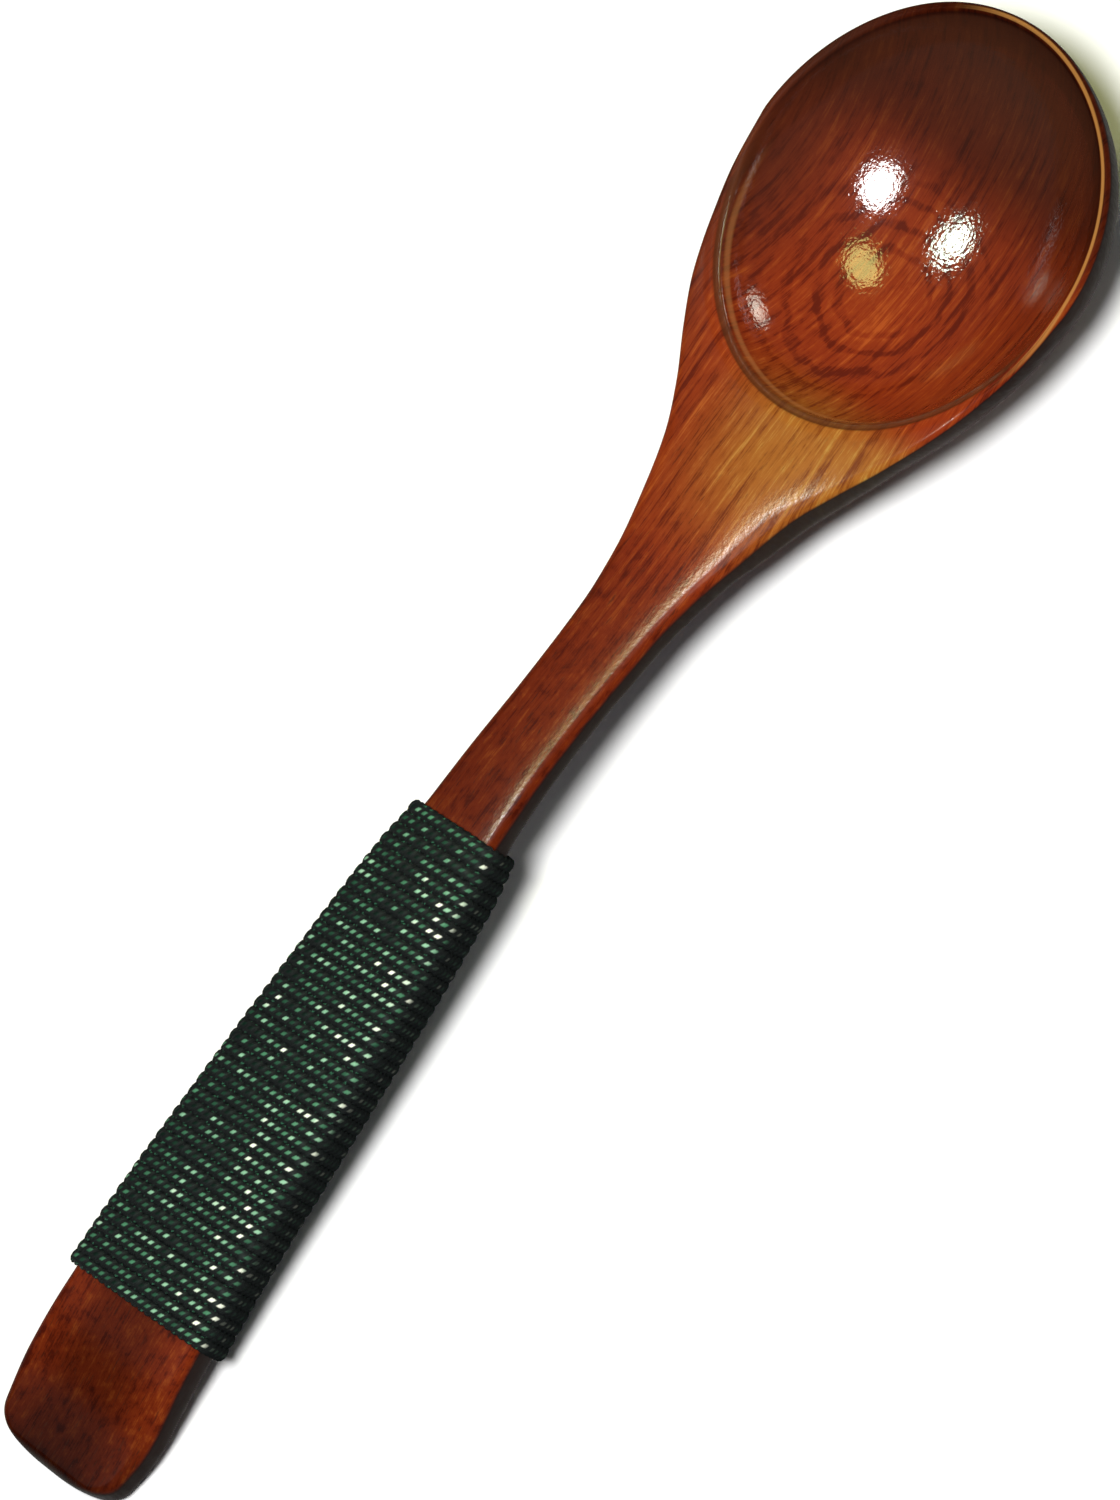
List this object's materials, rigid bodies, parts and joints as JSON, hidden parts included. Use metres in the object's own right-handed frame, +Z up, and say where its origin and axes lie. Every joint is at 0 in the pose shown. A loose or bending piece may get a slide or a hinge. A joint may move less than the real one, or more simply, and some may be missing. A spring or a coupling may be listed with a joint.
{
  "type": "wooden spoon",
  "caption": "Lacquered wooden spoon carved in one piece, with an egg-shaped bowl, a slim neck and a flared, arched handle bound in dark green twisted cord.",
  "frame": {"origin": "centre of the bounding box in plan, on the surface that the spoon lies on", "axes": "+X from the butt to the bowl's tip, +Z up out of the bowl, +Y across to the left seen from the butt"},
  "size_m": [0.18, 0.0426, 0.0162],
  "materials": {
    "lacquered_wood": "glossy clear lacquer over red-brown wood with fine pores",
    "cord": "dark green and black twisted thread with a glassy sheen",
    "glue": "cured amber glue"
  },
  "bodies": {
    "root": {"spoon_body": "lacquered_wood", "grip_winding": "cord", "winding_start_tail": "cord", "winding_finish_tail": "cord", "glue_coat": "glue"}
  },
  "joints": []
}
